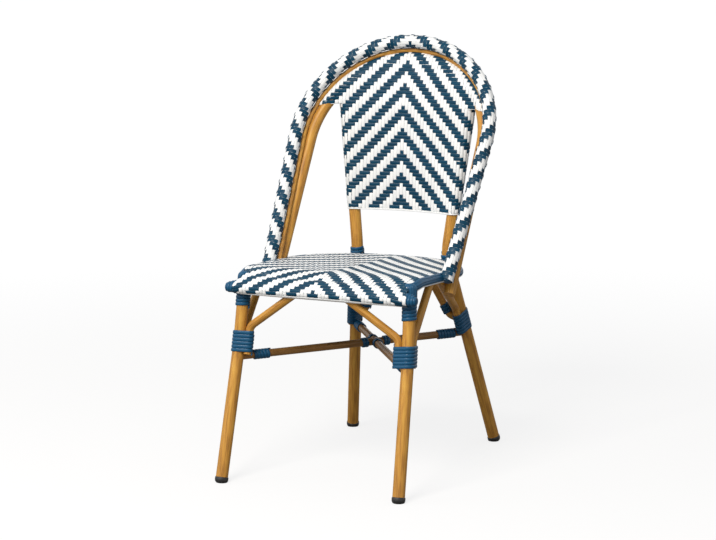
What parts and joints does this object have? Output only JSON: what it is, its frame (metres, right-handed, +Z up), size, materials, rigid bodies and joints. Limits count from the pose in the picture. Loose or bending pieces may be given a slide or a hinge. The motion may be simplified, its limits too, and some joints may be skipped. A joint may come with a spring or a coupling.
{
  "type": "bistro chair",
  "caption": "Bistro chair with a bent tube frame, woven strap seat and back, a leaning hoop in a braided sleeve and strap-bound joints.",
  "frame": {"origin": "on the floor under the middle of the chair's box", "axes": "+X to the right for a person who looks at the chair's front, +Y towards the back, +Z up; the front faces -Y"},
  "size_m": [0.4832, 0.622, 0.9149],
  "materials": {
    "cane_finish_tube": "tube with a cane-look coating in satin, with a fine grain along it",
    "stretcher_tube": "the same cane-look coating, seen in the shade under the seat",
    "woven_strap": "flat synthetic strap woven in white and navy, satin",
    "navy_strap": "round-edged synthetic strap, satin navy",
    "black_glide": "moulded black plastic"
  },
  "bodies": {
    "root": {"seat_ring": "cane_finish_tube", "seat_front_rail": "cane_finish_tube", "front_leg_left": "cane_finish_tube", "front_leg_right": "cane_finish_tube", "rear_leg_left": "cane_finish_tube", "rear_leg_right": "cane_finish_tube", "front_glide_left": "black_glide", "front_glide_right": "black_glide", "rear_glide_left": "black_glide", "rear_glide_right": "black_glide", "inner_hoop": "cane_finish_tube", "outer_hoop": "cane_finish_tube", "hoop_cane": "cane_finish_tube", "hoop_sleeve": "woven_strap", "front_brace_left": "cane_finish_tube", "front_brace_right": "cane_finish_tube", "side_brace_front_left": "cane_finish_tube", "side_brace_front_right": "cane_finish_tube", "side_brace_rear_left": "cane_finish_tube", "side_brace_rear_right": "cane_finish_tube", "rear_brace_left": "cane_finish_tube", "rear_brace_right": "cane_finish_tube", "stretcher_long": "stretcher_tube", "stretcher_half_front": "stretcher_tube", "stretcher_half_rear": "stretcher_tube", "front_joint_wrap_left": "navy_strap", "front_joint_wrap_right": "navy_strap", "rear_joint_wrap_left": "navy_strap", "rear_joint_wrap_right": "navy_strap", "leg_top_wrap_left": "navy_strap", "leg_top_wrap_right": "navy_strap", "upright_wrap_left": "navy_strap", "upright_wrap_right": "navy_strap", "rear_brace_wrap_left": "navy_strap", "rear_brace_wrap_right": "navy_strap", "stretcher_wrap_front_left": "navy_strap", "stretcher_wrap_front_right": "navy_strap", "stretcher_wrap_rear_left": "navy_strap", "stretcher_wrap_rear_right": "navy_strap", "crossing_wrap_front_left": "navy_strap", "crossing_wrap_front_right": "navy_strap", "crossing_wrap_rear_left": "navy_strap", "crossing_wrap_rear_right": "navy_strap", "seat_weave": "woven_strap", "back_weave": "woven_strap", "corner_wrap_left": "navy_strap", "corner_wrap_right": "navy_strap"}
  },
  "joints": []
}
